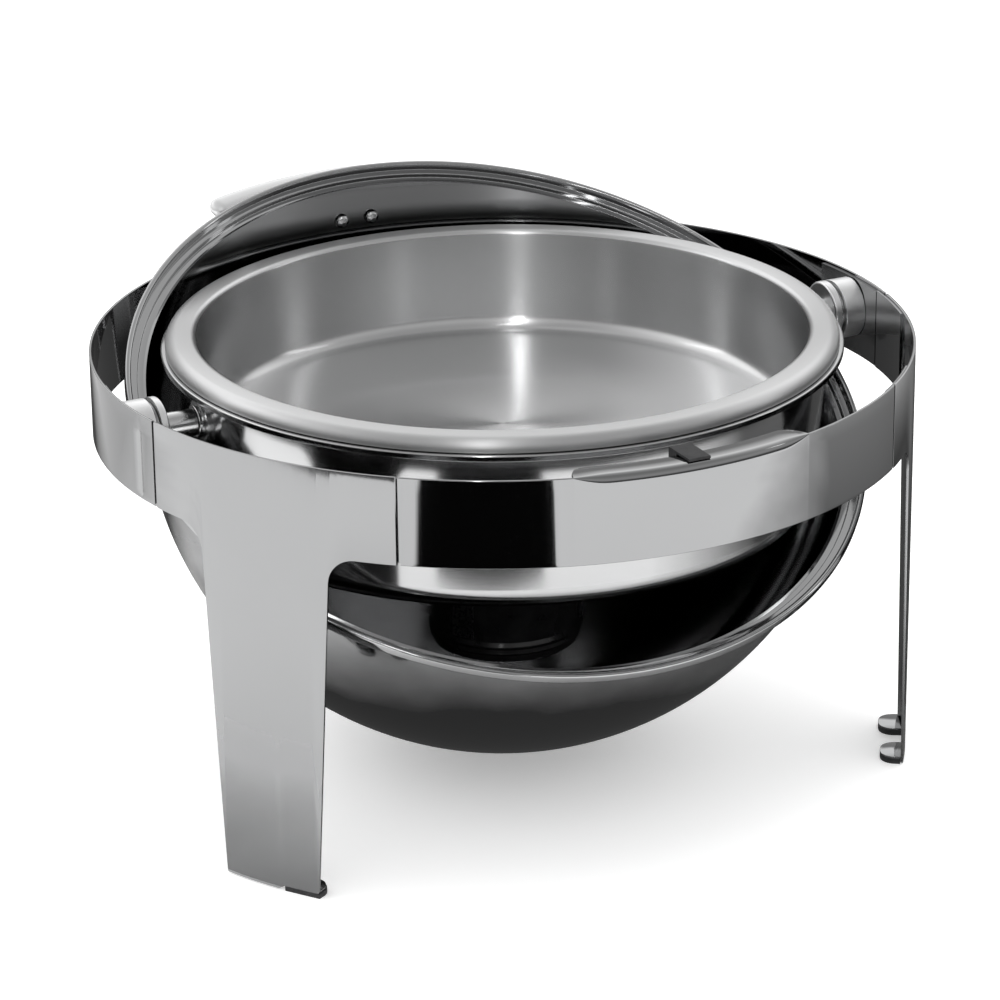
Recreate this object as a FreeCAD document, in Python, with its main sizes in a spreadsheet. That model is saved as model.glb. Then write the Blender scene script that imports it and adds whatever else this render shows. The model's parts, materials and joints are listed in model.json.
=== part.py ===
import FreeCAD, Part
import math
import os
import Sketcher

# Round roll-top chafing dish on a three-legged ring stand.
# Millimetres. The origin is on the floor under the middle of the ring, +Z is up and -Y is the front.
# The lid turns about an axis along X through two hubs on the ring, and rests rolled open under the pans.

SIZES = {
    # ring stand
    "ring_radius": 238.0,
    "ring_height": 50.0,
    "stand_height": 255.0,
    "sheet": 1.5,
    "leg_half_angle": 19.8,
    "seam_angle": 0.4,
    "lap_angle": 9.0,
    "lap_root_angle": 1.8,
    "lap_inset": 1.0,
    "leg_neck_half": 43.0,
    "leg_foot_half": 31.5,
    "leg_fillet": 16.0,
    "tab_width": 22.0,
    "tab_depth": 14.0,
    "tab_corner": 9.0,
    "tab_inset": 0.4,
    "tab_slant": 1.9,
    "pad_height": 3.0,
    "pad_overhang": 1.2,
    "pad_recess": 0.4,
    "toe_clearance": 0.6,
    "toe_ramp": 4.0,
    "ledge_depth": 17.5,
    "ledge_half_angle": 17.5,
    "ledge_corner": 10.5,
    # bumper on the ledge
    "bumper_width": 13.0,
    "bumper_tail": 234.5,
    "bumper_nose": 211.5,
    "bumper_drop": 7.0,
    "bumper_edge": 0.6,
    # pivots
    "axis_height": 234.5,
    "plate_half_angle": 7.7,
    "plate_margin": 2.0,
    "hub_radius": 18.0,
    "hub_bevel": 1.5,
    "hub_outer_start": 221.5,
    "hub_outer_end": 234.1,
    "hub_inner_start": 214.0,
    "hub_inner_end": 218.5,
    "pin_radius": 5.0,
    "pin_clearance": 0.05,
    "pin_start": 189.3,
    "pin_end": 234.8,
    "spacer_radius": 7.75,
    "spacer_start": 194.0,
    "collar_radius": 9.2,
    "collar_start": 190.4,
    "collar_edge": 0.5,
    "boss_radius": 13.0,
    "boss_margin": 2.0,
    # roll-top lid, measured with the lid closed and the pivot axis as its origin
    "dome_radius": 207.75,
    "dome_drop": 8.0,
    "dome_sheet": 1.2,
    "rim_radius": 219.0,
    "rim_lip": 3.0,
    "rim_hem": 3.6,
    "rim_rise": 25.0,
    "rim_step": 3.0,
    "rim_seat": 6.0,
    "rim_riser": 4.8,
    "lid_setback": 6.0,
    "open_angle": 155.3,
    "ear_start": 219.2,
    "ear_sheet": 2.0,
    "ear_radius": 15.5,
    "ear_height": 27.4,
    "ear_corner": 3.0,
    "bush_radius": 7.5,
    "bush_flange": 0.3,
    "bush_flange_width": 2.5,
    # handle, in the lid's frame
    "handle_half": 88.0,
    "handle_bow": 300.0,
    "handle_front": 243.0,
    "handle_rise": 27.0,
    "handle_depth": 14.0,
    "handle_height": 9.5,
    "handle_corner": 3.6,
    "stem_width": 36.0,
    "stem_height": 8.0,
    "stem_blank": 60.0,
    "stem_drill": 37.0,
    "screw_spacing": 20.0,
    "screw_radius": 2.5,
    "screw_head": 4.6,
    "screw_dome": 3.2,
    "screw_shank": 14.0,
    "screw_sink": 1.0,
    # food pan
    "food_rise": 7.0,
    "food_rim": 194.5,
    "food_mouth": 177.0,
    "food_floor": 172.0,
    "food_depth": 63.0,
    "food_lip": 8.0,
    "food_roll": 6.6,
    "food_throat": 3.0,
    "food_corner": 10.0,
    "food_sheet": 1.0,
    # water pan
    "water_rim": 197.0,
    "water_mouth": 188.0,
    "water_floor": 180.5,
    "water_depth": 100.0,
    "water_drop": 1.4,
    "water_corner": 16.0,
    "water_sheet": 1.2,
    # burner
    "holder_radius": 44.0,
    "holder_depth": 188.0,
    "holder_height": 40.0,
    "holder_sheet": 1.0,
    "holder_bead": 1.6,
    "strap_width": 14.0,
    "strap_foot": 16.0,
    "strap_start": 14.0,
    "can_radius": 41.0,
    "can_height": 56.0,
    "can_mouth": 25.0,
    "can_wall": 1.0,
    "can_edge": 1.5,
}

doc = FreeCAD.newDocument("RollTopChafer")
sheet = doc.addObject("Spreadsheet::Sheet", "Sizes")


class Size:
    """A number together with the sheet formula that it comes from."""

    def __init__(self, value, formula):
        self.value = value
        self.formula = formula

    def __add__(self, other):
        return combine(self, "+", other)

    def __sub__(self, other):
        return combine(self, "-", other)

    def __mul__(self, other):
        return combine(self, "*", other)

    def __truediv__(self, other):
        return combine(self, "/", other)

    def __radd__(self, other):
        return combine(other, "+", self)

    def __rsub__(self, other):
        return combine(other, "-", self)

    def __rmul__(self, other):
        return combine(other, "*", self)

    def __neg__(self):
        return combine(0.0, "-", self)


def as_size(number):
    if isinstance(number, Size):
        return number
    return Size(float(number), repr(float(number)))


def combine(left, sign, right):
    left = as_size(left)
    right = as_size(right)
    results = {
        "+": left.value + right.value,
        "-": left.value - right.value,
        "*": left.value * right.value,
    }
    value = left.value / right.value if sign == "/" else results[sign]
    return Size(value, f"({left.formula} {sign} {right.formula})")


def sine(angle):
    angle = as_size(angle)
    return Size(math.sin(math.radians(angle.value)), f"sin({angle.formula})")


def cosine(angle):
    angle = as_size(angle)
    return Size(math.cos(math.radians(angle.value)), f"cos({angle.formula})")


def root(number):
    number = as_size(number)
    return Size(math.sqrt(number.value), f"sqrt({number.formula})")


def fill_sheet():
    for row, (name, value) in enumerate(SIZES.items(), start=1):
        sheet.set(f"A{row}", name)
        sheet.set(f"B{row}", str(value))
        sheet.setAlias(f"B{row}", name)
    doc.recompute()


def size(name):
    return Size(float(SIZES[name]), f"Sizes.{name}")


def bind(thing, prop, number):
    """Give a property its value and tie it to the sheet."""
    number = as_size(number)
    if prop in thing.PropertiesList:
        setattr(thing, prop, number.value)
    thing.setExpression(prop, number.formula)


# ---------------------------------------------------------------- sketches and features


def origin_feature(body, role):
    return next(item for item in body.Origin.OriginFeatures if item.Role == role)


def new_body(label):
    body = doc.addObject("PartDesign::Body", label)
    body.Label = label
    return body


def new_sketch(body, plane, lift=0.0):
    sketch = body.newObject("Sketcher::SketchObject", "Sketch")
    sketch.AttachmentSupport = [(origin_feature(body, plane), "")]
    sketch.MapMode = "FlatFace"
    lift = as_size(lift)
    sketch.AttachmentOffset = FreeCAD.Placement(FreeCAD.Vector(0, 0, lift.value), FreeCAD.Rotation())
    sketch.setExpression("AttachmentOffset.Base.z", lift.formula)
    return sketch


def fix_point(sketch, index, position, corner):
    """Tie a vertex to the sketch origin, leaving out a coordinate given as None."""
    for kind, value in (("DistanceX", corner[0]), ("DistanceY", corner[1])):
        if value is None:
            continue
        value = as_size(value)
        if value.formula == "0.0":
            axis = -2 if kind == "DistanceX" else -1
            sketch.addConstraint(Sketcher.Constraint("PointOnObject", index, position, axis))
            continue
        number = sketch.addConstraint(Sketcher.Constraint(kind, -1, 1, index, position, value.value))
        sketch.setExpression(f"Constraints[{number}]", value.formula)


def vector(corner):
    return FreeCAD.Vector(as_size(corner[0]).value, as_size(corner[1]).value, 0)


def rounded_ends(before, corner, after, radius):
    """Where an arc of this radius leaves the two sides that meet at a corner, and its centre."""
    to_before = (before - corner).normalize()
    to_after = (after - corner).normalize()
    half = to_before.getAngle(to_after) / 2
    reach = radius / math.tan(half)
    middle = (to_before + to_after).normalize()
    return corner + to_before * reach, corner + to_after * reach, corner + middle * (radius / math.sin(half))


def arc_between(start, end, centre):
    """The short arc from start to end, and whether it runs clockwise."""
    radius = (start - centre).Length
    circle = Part.Circle(centre, FreeCAD.Vector(0, 0, 1), radius)
    first = math.atan2(start.y - centre.y, start.x - centre.x)
    last = math.atan2(end.y - centre.y, end.x - centre.x)
    clockwise = (start - centre).cross(end - centre).z < 0
    if clockwise:
        first, last = last, first
    if last < first:
        last += 2 * math.pi
    return Part.ArcOfCircle(circle, first, last), clockwise


def draw_outline(sketch, corners):
    """Closed outline through corners (x, y, radius), each side straight and each radius a tangent arc."""
    count = len(corners)
    points = [vector(corner) for corner in corners]
    radii = [as_size(corner[2]) if len(corner) > 2 else None for corner in corners]
    starts = list(points)
    ends = list(points)
    arcs = {}
    for place in range(count):
        if radii[place] is None:
            continue
        before, after = points[place - 1], points[(place + 1) % count]
        ends[place], starts[place], centre = rounded_ends(before, points[place], after, radii[place].value)
        arcs[place] = arc_between(ends[place], starts[place], centre)
    lines = []
    for place in range(count):
        following = (place + 1) % count
        lines.append(sketch.addGeometry(Part.LineSegment(starts[place], ends[following]), False))
    for place in range(count):
        earlier, later = lines[place - 1], lines[place]
        if radii[place] is None:
            sketch.addConstraint(Sketcher.Constraint("Coincident", earlier, 2, later, 1))
            fix_point(sketch, later, 1, corners[place])
            continue
        marker = sketch.addGeometry(Part.Point(points[place]), True)
        fix_point(sketch, marker, 1, corners[place])
        sketch.addConstraint(Sketcher.Constraint("PointOnObject", marker, 1, earlier))
        sketch.addConstraint(Sketcher.Constraint("PointOnObject", marker, 1, later))
        curve, clockwise = arcs[place]
        arc = sketch.addGeometry(curve, False)
        first, last = (2, 1) if clockwise else (1, 2)
        sketch.addConstraint(Sketcher.Constraint("Tangent", earlier, 2, arc, first))
        sketch.addConstraint(Sketcher.Constraint("Tangent", arc, last, later, 1))
        number = sketch.addConstraint(Sketcher.Constraint("Radius", arc, radii[place].value))
        sketch.setExpression(f"Constraints[{number}]", radii[place].formula)


def draw_circle(sketch, centre, radius):
    radius = as_size(radius)
    circle = Part.Circle(vector(centre), FreeCAD.Vector(0, 0, 1), radius.value)
    index = sketch.addGeometry(circle, False)
    fix_point(sketch, index, 3, centre)
    number = sketch.addConstraint(Sketcher.Constraint("Radius", index, radius.value))
    sketch.setExpression(f"Constraints[{number}]", radius.formula)


def revolve(body, sketch, angle=360.0, kind="PartDesign::Revolution"):
    """Turn a sketch about its own vertical axis, evenly to both sides when it isn't a full turn."""
    feature = body.newObject(kind, "Turn")
    feature.Profile = sketch
    feature.ReferenceAxis = (sketch, ["V_Axis"])
    feature.Midplane = as_size(angle).value < 360.0
    bind(feature, "Angle", angle)
    body.Tip = feature
    return feature


def pad(body, sketch, length, both_ways=False):
    feature = body.newObject("PartDesign::Pad", "Pad")
    feature.Profile = sketch
    feature.SideType = "Symmetric" if both_ways else "One side"
    bind(feature, "Length", length)
    body.Tip = feature
    return feature


def pocket(body, sketch, length, both_ways=True, backwards=False):
    """Cut a sketch through the body and make sure that something was cut."""
    doc.recompute()
    before = body.Shape.Volume
    feature = body.newObject("PartDesign::Pocket", "Pocket")
    feature.Profile = sketch
    feature.SideType = "Symmetric" if both_ways else "One side"
    feature.Reversed = backwards
    bind(feature, "Length", length)
    body.Tip = feature
    doc.recompute()
    if body.Shape.Volume > before - 1.0:
        raise RuntimeError(f"{body.Label}: a pocket cut nothing")
    return feature


def turned(label, corners, angle=360.0):
    """A body turned about its own Z axis from an outline of radius and height."""
    body = new_body(label)
    outline = new_sketch(body, "XZ_Plane")
    draw_outline(outline, corners)
    revolve(body, outline, angle)
    return body


def place(thing, placement):
    thing.Placement = placement
    return thing


def at(x=0.0, y=0.0, z=0.0, axis=FreeCAD.Vector(0, 0, 1), angle=0.0):
    values = [as_size(number).value for number in (x, y, z)]
    return FreeCAD.Placement(FreeCAD.Vector(*values), FreeCAD.Rotation(axis, as_size(angle).value))


def around(angle):
    """Turn about the middle of the ring: 0 is the front and +90 is the +X side."""
    return at(angle=angle - 90.0)


def group(label, members):
    bundle = doc.addObject("Part::Compound", label)
    bundle.Label = label
    bundle.Links = members
    return bundle


# ---------------------------------------------------------------- ring stand

fill_sheet()
RING_OUT = size("ring_radius")
RING_IN = RING_OUT - size("sheet")
RING_TOP = size("stand_height")
RING_FOOT = RING_TOP - size("ring_height")
BAND_HALF = 60.0 - size("leg_half_angle") - size("seam_angle")
LAP_HALF = BAND_HALF + size("lap_angle")
LAP_ROOT = BAND_HALF - size("lap_root_angle")
THROUGH = RING_OUT * 3
CUT_PAST = 5.0
HAIR = 0.1


def box_outline(low, high, foot, top):
    return [(low, foot), (high, foot), (high, top), (low, top)]


def ring_band(label, angle, with_ledge=False):
    """A third of the ring between two legs, with a lapped tab behind each leg."""
    body = turned(label, box_outline(RING_IN, RING_OUT, RING_FOOT, RING_TOP), BAND_HALF * 2)
    inset = size("lap_inset")
    tabs = new_sketch(body, "XZ_Plane")
    draw_outline(tabs, box_outline(RING_IN - size("sheet"), RING_IN, RING_FOOT + inset, RING_TOP - inset))
    revolve(body, tabs, LAP_HALF * 2)
    clear = new_sketch(body, "XZ_Plane")
    middle = box_outline(RING_IN - size("sheet") * 2, RING_IN, RING_FOOT, RING_TOP)
    draw_outline(clear, middle)
    revolve(body, clear, LAP_ROOT * 2, "PartDesign::Groove")
    if with_ledge:
        ledge = new_sketch(body, "XZ_Plane")
        inner = RING_OUT - size("ledge_depth")
        outer = RING_IN + size("sheet") / 2
        draw_outline(ledge, box_outline(inner, outer, RING_TOP - size("sheet"), RING_TOP))
        revolve(body, ledge, size("ledge_half_angle") * 2)
        round_ledge(body)
    return place(body, around(angle))


def round_ledge(body):
    """Round the two free corners of the ledge."""
    doc.recompute()
    reach = SIZES["ring_radius"] - SIZES["ledge_depth"]
    corners = []
    for number, edge in enumerate(body.Shape.Edges, start=1):
        ends = [vertex.Point for vertex in edge.Vertexes]
        upright = len(ends) == 2 and abs(ends[0].z - ends[1].z) > SIZES["sheet"] / 2
        if upright and math.hypot(ends[0].x, ends[0].y) < reach + HAIR:
            corners.append(f"Edge{number}")
    sharp = body.Tip
    fillet = body.newObject("PartDesign::Fillet", "LedgeCorners")
    fillet.Base = (sharp, corners)
    bind(fillet, "Radius", size("ledge_corner"))
    body.Tip = fillet


TAB_NEAR = size("leg_foot_half") - size("tab_width")


def tab_outline(side, outward, width_gain=0.0):
    """D-shaped tab at a bottom corner of a leg, in the leg's own frame with +X outward."""
    near = TAB_NEAR * side
    far = (size("leg_foot_half") - size("tab_inset") + width_gain) * side
    back = RING_IN - size("tab_depth")
    return [
        (RING_IN + outward, near),
        (back, near, size("tab_corner")),
        (back, far, size("tab_corner")),
        (RING_IN - size("tab_slant") + outward, far),
    ]


def leg(label, angle):
    """A curved sheet: a cross-bar as tall as the ring that narrows into a tapering leg."""
    foot = size("pad_height")
    toe = size("toe_clearance")
    body = turned(label, box_outline(RING_IN, RING_OUT, toe, RING_TOP), size("leg_half_angle") * 2)
    beyond = RING_OUT * sine(size("leg_half_angle")) + CUT_PAST
    slope = (size("leg_neck_half") - size("leg_foot_half")) / (RING_FOOT - foot)
    for side in (-1.0, 1.0):
        window = new_sketch(body, "YZ_Plane")
        draw_outline(window, [
            (beyond * side, RING_FOOT),
            (size("leg_neck_half") * side, RING_FOOT, size("leg_fillet")),
            ((size("leg_foot_half") - slope * CUT_PAST) * side, foot - CUT_PAST),
            (beyond * side, foot - CUT_PAST),
        ])
        pocket(body, window, THROUGH)
    over_pad = new_sketch(body, "YZ_Plane")
    draw_outline(over_pad, [
        (TAB_NEAR - size("toe_ramp"), toe - HAIR),
        (TAB_NEAR, foot),
        (beyond, foot),
        (beyond, toe - HAIR),
    ])
    pocket(body, over_pad, THROUGH)
    for side in (-1.0, 1.0):
        tab = new_sketch(body, "XY_Plane", foot)
        draw_outline(tab, tab_outline(side, size("sheet") / 3))
        pad(body, tab, size("sheet"))
    return place(body, around(angle))


def foot_pads(label, angle):
    """A pad hidden behind the sheet at one corner, and one that shows under it at the other."""
    pads = []
    for name, side, outward, gain in (
        ("hidden", -1.0, -size("pad_recess"), 0.0),
        ("shown", 1.0, size("pad_overhang"), size("pad_overhang") / 2),
    ):
        body = new_body(f"{label}_{name}")
        outline = new_sketch(body, "XY_Plane")
        draw_outline(outline, tab_outline(side, outward, gain))
        pad(body, outline, size("pad_height"))
        pads.append(place(body, around(angle)))
    return group(label, pads)


def lid_bumper():
    """Rubber stop that sits on the ledge, with a nose under the closed lid's rim."""
    body = new_body("lid_bumper")
    outline = new_sketch(body, "YZ_Plane")
    edge = size("bumper_edge")
    foot = RING_TOP - size("bumper_drop")
    top = size("axis_height") + size("rim_rise") - size("rim_lip") - HAIR
    ledge_edge = RING_OUT - size("ledge_depth") - HAIR * 3
    draw_outline(outline, [
        (-size("bumper_tail"), RING_TOP),
        (-size("bumper_tail"), top, edge),
        (-size("bumper_nose"), top, edge),
        (-size("bumper_nose"), foot, edge),
        (-ledge_edge, foot),
        (-ledge_edge, RING_TOP),
    ])
    pad(body, outline, size("bumper_width"), both_ways=True)
    return body


# ---------------------------------------------------------------- pivots

SIDES = (("right", 1.0), ("left", -1.0))
AXIS = size("axis_height")


def along_x(side):
    """Turn a body's own Z axis to point outward along X, on the pivot axis."""
    return at(z=AXIS, axis=FreeCAD.Vector(0, 1, 0), angle=90.0 * side)


def tube_outline(bore, radius, start, end, bevel_start=None, bevel_end=None):
    def cut(corner, bevel):
        return corner if bevel is None else corner + (bevel,)
    return [
        (bore, start),
        cut((radius, start), bevel_start),
        cut((radius, end), bevel_end),
        (bore, end),
    ]


def pivot_plate(side_name, side):
    """Curved backing plate on the inside of the ring, with a hole for the pin."""
    margin = size("plate_margin")
    strip = box_outline(RING_IN - size("sheet"), RING_IN, RING_FOOT + margin, RING_TOP - margin)
    body = turned(f"{side_name}_pivot_plate", strip, size("plate_half_angle") * 2)
    hole = new_sketch(body, "YZ_Plane")
    draw_circle(hole, (0.0, AXIS), size("pin_radius") + size("pin_clearance"))
    pocket(body, hole, THROUGH)
    return place(body, around(90.0 * side))


def pivot_parts():
    bore = size("pin_radius") + size("pin_clearance")
    collar_edge = size("collar_edge")
    made = []
    for name, side in SIDES:
        made.append(pivot_plate(name, side))
        turned_parts = {
            "outer_hub": tube_outline(
                bore, size("hub_radius"), size("hub_outer_start"), size("hub_outer_end"),
                size("hub_bevel") / 3),
            "inner_hub": tube_outline(
                bore, size("hub_radius"), size("hub_inner_start"), size("hub_inner_end"), size("hub_bevel")),
            "spacer_tube": tube_outline(
                bore, size("spacer_radius"), size("spacer_start"), size("hub_inner_start")),
            "pivot_collar": tube_outline(
                bore, size("collar_radius"), size("collar_start"), size("spacer_start") - collar_edge,
                collar_edge, collar_edge),
            "pivot_pin": [
                (0.0, size("pin_start")),
                (size("pin_radius"), size("pin_start")),
                (size("pin_radius"), size("pin_end")),
                (0.0, size("pin_end")),
            ],
        }
        for part, outline in turned_parts.items():
            made.append(place(turned(f"{name}_{part}", outline), along_x(side)))
        made.append(pan_boss(name, side))
    return made


def water_wall(depth):
    """Outer radius of the water pan's tapered wall at a depth below the ring top."""
    rim_foot = size("water_drop") + size("water_sheet")
    taper = (size("water_mouth") - size("water_floor")) / (size("water_depth") - rim_foot)
    return size("water_mouth") - taper * (depth - rim_foot)


def pan_boss(name, side):
    """Round boss between the collar and the water pan's wall, its back cut to fit the wall."""
    body = new_body(f"{name}_pan_boss")
    face = new_sketch(body, "YZ_Plane")
    draw_circle(face, (0.0, AXIS), size("boss_radius"))
    pad(body, face, size("collar_start"))
    doc.recompute()
    wall = new_sketch(body, "XZ_Plane")
    reach = size("boss_radius") + size("boss_margin")
    upper = RING_TOP - AXIS - reach
    lower = RING_TOP - AXIS + reach
    draw_outline(wall, [
        (0.0, RING_TOP - lower),
        (water_wall(lower), RING_TOP - lower),
        (water_wall(upper), RING_TOP - upper),
        (0.0, RING_TOP - upper),
    ])
    revolve(body, wall, 360.0, "PartDesign::Groove")
    hole = new_sketch(body, "YZ_Plane")
    draw_circle(hole, (0.0, AXIS), size("pin_radius") + size("pin_clearance"))
    pocket(body, hole, THROUGH)
    return place(body, around(90.0 * side))


# ---------------------------------------------------------------- pans and burner


def water_pan():
    """Deep pan that hangs between the pivots, with a flat rim that carries the food pan."""
    plate = size("water_sheet")
    depth = size("water_depth")
    top = size("water_drop")
    corner = size("water_corner")
    inner_mouth = size("water_mouth") - plate
    inner_floor = size("water_floor") - plate
    return place(turned("water_pan", [
        (0.0, -depth),
        (size("water_floor"), -depth, corner),
        (size("water_mouth"), -top - plate),
        (size("water_rim") - plate, -top - plate),
        (size("water_rim") - plate, -top - plate * 3),
        (size("water_rim"), -top - plate * 3),
        (size("water_rim"), -top, plate * 0.8),
        (inner_mouth, -top),
        (inner_floor, -depth + plate, corner - plate),
        (0.0, -depth + plate),
    ]), at(z=RING_TOP))


def food_pan():
    """Shallow pan with a broad flange whose rolled lip sits on the water pan's rim."""
    plate = size("food_sheet")
    rim = size("food_rim")
    mouth = size("food_mouth")
    floor = size("food_floor")
    depth = size("food_depth")
    return place(turned("food_pan", [
        (0.0, -depth),
        (floor + plate, -depth, size("food_corner") + plate),
        (mouth + plate, -plate, size("food_throat") - plate),
        (rim - plate, -plate, size("food_roll") - plate),
        (rim - plate, -size("food_lip")),
        (rim, -size("food_lip")),
        (rim, 0.0, size("food_roll")),
        (mouth, 0.0, size("food_throat")),
        (floor, -depth + plate, size("food_corner")),
        (0.0, -depth + plate),
    ]), at(z=RING_TOP + size("food_rise")))


def fuel_holder():
    """Open cup under the water pan, with a double bead at the foot."""
    plate = size("holder_sheet")
    radius = size("holder_radius")
    height = size("holder_height")
    bead = size("holder_bead")
    inner = radius - bead
    return place(turned("fuel_holder", [
        (0.0, 0.0),
        (radius - bead / 3, 0.0, 1.0),
        (radius - bead / 3, 4.0),
        (radius + bead, 5.2, 0.6),
        (radius, 7.6),
        (radius + bead, 10.0, 0.6),
        (radius, 12.4),
        (radius, height),
        (inner, height),
        (inner, plate),
        (0.0, plate),
    ]), at(z=RING_TOP - size("holder_depth")))


def hanger_straps():
    """Three bent straps from the water pan's floor to the cup."""
    plate = size("sheet")
    top = size("holder_depth") - size("water_depth")
    inner = size("holder_radius")
    start = size("strap_start")
    straps = []
    for turn in (-60.0, 60.0, 180.0):
        body = new_body(f"hanger_strap_{int(turn) % 360}")
        outline = new_sketch(body, "XZ_Plane")
        draw_outline(outline, [
            (inner, start),
            (inner + plate, start),
            (inner + plate, top - plate, plate),
            (inner + size("strap_foot"), top - plate),
            (inner + size("strap_foot"), top),
            (inner, top, plate * 2),
        ])
        pad(body, outline, size("strap_width"), both_ways=True)
        placement = at(z=RING_TOP - size("holder_depth")).multiply(around(turn))
        straps.append(place(body, placement))
    return group("hanger_straps", straps)


def fuel_can():
    """Gel fuel can standing in the cup, open at the top."""
    radius = size("can_radius")
    height = size("can_height")
    wall = size("can_wall")
    return place(turned("fuel_can", [
        (0.0, 0.0),
        (radius, 0.0, size("can_edge")),
        (radius, height, size("can_edge")),
        (size("can_mouth"), height),
        (size("can_mouth"), height - wall),
        (radius - wall, height - wall),
        (radius - wall, wall),
        (0.0, wall),
    ]), at(z=RING_TOP - size("holder_depth") + size("holder_sheet")))


# ---------------------------------------------------------------- roll-top lid

ROLLED_OPEN = at(z=AXIS, axis=FreeCAD.Vector(1, 0, 0), angle=-size("open_angle"))


def on_lid(body, placement=FreeCAD.Placement()):
    """Place a piece given in the closed lid's frame where it is with the lid rolled open."""
    return place(body, ROLLED_OPEN.multiply(placement))


LID_SEAT = at(y=size("lid_setback"), z=size("rim_rise"))


def dome_radius_at(height, radius):
    """Radius of the spherical dome at a height above the rim."""
    rise = as_size(height) + size("dome_drop")
    return root(radius * radius - rise * rise)


def draw_dome(sketch):
    """Half section of the dome: a spherical shell that turns out into a stepped, lipped rim."""
    outer = size("dome_radius")
    plate = size("dome_sheet")
    inner = outer - plate
    rim = size("rim_radius")
    step = size("rim_step")
    seat = size("rim_seat")
    riser = outer + size("rim_riser")
    outer_foot = (dome_radius_at(seat, outer), seat)
    inner_foot = (dome_radius_at(seat - plate, inner), seat - plate)
    side = [
        outer_foot,
        (riser, seat),
        (riser, step),
        (rim, step),
        (rim, -size("rim_lip")),
        (rim - size("rim_hem"), -size("rim_lip")),
        (rim - size("rim_hem"), step - plate),
        (riser - plate, step - plate),
        (riser - plate, seat - plate),
        inner_foot,
    ]
    points = [vector(corner) for corner in side]
    lines = []
    for start, end in zip(points, points[1:]):
        lines.append(sketch.addGeometry(Part.LineSegment(start, end), False))
    for place_number, line in enumerate(lines):
        fix_point(sketch, line, 1, side[place_number])
        if place_number:
            sketch.addConstraint(Sketcher.Constraint("Coincident", lines[place_number - 1], 2, line, 1))
    fix_point(sketch, lines[-1], 2, side[-1])
    centre = FreeCAD.Vector(0, -size("dome_drop").value, 0)
    arcs = []
    for radius, foot in ((outer, points[0]), (inner, points[-1])):
        apex = centre + FreeCAD.Vector(0, radius.value, 0)
        curve, clockwise = arc_between(foot, apex, centre)
        arc = sketch.addGeometry(curve, False)
        fix_point(sketch, arc, 3, (0.0, -size("dome_drop")))
        fix_point(sketch, arc, 2, (0.0, None))
        arcs.append(arc)
    sketch.addConstraint(Sketcher.Constraint("Coincident", arcs[0], 1, lines[0], 1))
    sketch.addConstraint(Sketcher.Constraint("Coincident", arcs[1], 1, lines[-1], 2))
    top = sketch.addGeometry(Part.LineSegment(
        centre + FreeCAD.Vector(0, outer.value, 0), centre + FreeCAD.Vector(0, inner.value, 0)), False)
    sketch.addConstraint(Sketcher.Constraint("Coincident", arcs[0], 2, top, 1))
    sketch.addConstraint(Sketcher.Constraint("Coincident", arcs[1], 2, top, 2))


def lid_dome():
    body = new_body("lid_dome")
    section = new_sketch(body, "XZ_Plane")
    draw_dome(section)
    revolve(body, section)
    holes = new_sketch(body, "XZ_Plane")
    for side in (-0.5, 0.5):
        draw_circle(holes, (size("screw_spacing") * side, size("handle_rise")), size("screw_radius") + HAIR)
    pocket(body, holes, THROUGH, both_ways=False, backwards=True)
    return on_lid(body, LID_SEAT)


def lid_ear(name, side):
    """Flat ear that hangs the rim on the pivot, with a hole for its bush."""
    body = new_body(f"{name}_lid_ear")
    outline = new_sketch(body, "YZ_Plane", size("ear_start"))
    reach = size("ear_radius")
    top = size("ear_height")
    draw_outline(outline, [
        (-reach, -reach, reach - HAIR),
        (reach, -reach, reach - HAIR),
        (reach, top, size("ear_corner")),
        (-reach, top, size("ear_corner")),
    ])
    pad(body, outline, size("ear_sheet"))
    doc.recompute()
    hole = new_sketch(body, "YZ_Plane")
    draw_circle(hole, (0.0, 0.0), size("bush_radius"))
    pocket(body, hole, THROUGH)
    return on_lid(body, at(angle=0.0 if side > 0 else 180.0))


def pivot_bush(name, side):
    """Plain bush pressed into the ear, which runs on the pin between the two hubs."""
    start = size("ear_start") - size("bush_flange")
    end = size("ear_start") + size("ear_sheet")
    bore = size("pin_radius") + size("pin_clearance")
    flange = size("bush_radius") + size("bush_flange_width")
    body = turned(f"{name}_pivot_bush", [
        (bore, start),
        (flange, start),
        (flange, size("ear_start")),
        (size("bush_radius"), size("ear_start")),
        (size("bush_radius"), end),
        (bore, end),
    ])
    return on_lid(body, at(axis=FreeCAD.Vector(0, 1, 0), angle=90.0 * side))


def handle_grip():
    """Bowed bar in front of the rim: a rounded section turned about a distant upright axis."""
    bow = size("handle_bow")
    half = size("handle_height") / 2
    corner = size("handle_corner")
    sweep = 2 * math.degrees(math.asin(SIZES["handle_half"] / SIZES["handle_bow"]))
    body = turned("handle_grip", [
        (bow - size("handle_depth"), -half, corner),
        (bow, -half, corner),
        (bow, half, corner),
        (bow - size("handle_depth"), half, corner),
    ], sweep)
    doc.recompute()
    ends = []
    for number, face in enumerate(body.Shape.Faces, start=1):
        if isinstance(face.Surface, Part.Plane) and abs(face.normalAt(0, 0).z) < HAIR:
            ends.append(f"Face{number}")
    square = body.Tip
    fillet = body.newObject("PartDesign::Fillet", "RoundEnds")
    fillet.Base = (square, ends)
    bind(fillet, "Radius", corner * 0.9)
    body.Tip = fillet
    seat = at(y=bow - size("handle_front"), z=size("rim_rise") + size("handle_rise"), angle=-90.0)
    return on_lid(body, seat)


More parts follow.
